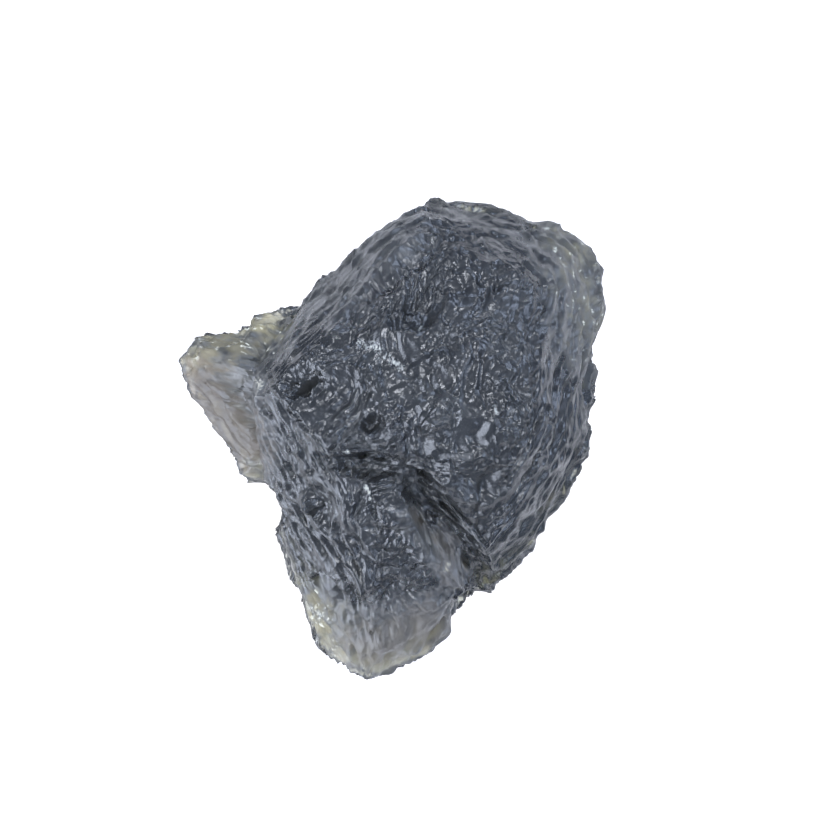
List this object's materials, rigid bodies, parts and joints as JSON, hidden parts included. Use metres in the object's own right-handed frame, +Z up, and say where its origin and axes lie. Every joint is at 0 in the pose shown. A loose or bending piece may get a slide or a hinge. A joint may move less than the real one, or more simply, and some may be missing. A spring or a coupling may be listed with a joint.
{
  "type": "moldavite",
  "caption": "Rough natural splinter of bottle-green glass, deeply pitted and grooved, with a thin translucent wing and a narrow lobe. It lies loose on a small worn flat.",
  "frame": {"origin": "centre of the stone's footprint box, on the level it rests on", "axes": "+Z up through the broad pitted face, -X towards the thin wing, -Y towards the narrow lobe"},
  "size_m": [0.026, 0.0296, 0.0144],
  "materials": {
    "moldavite_glass": "natural bottle-green glass, acid-etched by soil: satin to glossy, dark where thick and olive and see-through where thin"
  },
  "bodies": {
    "root": {"moldavite": "moldavite_glass"}
  },
  "joints": []
}
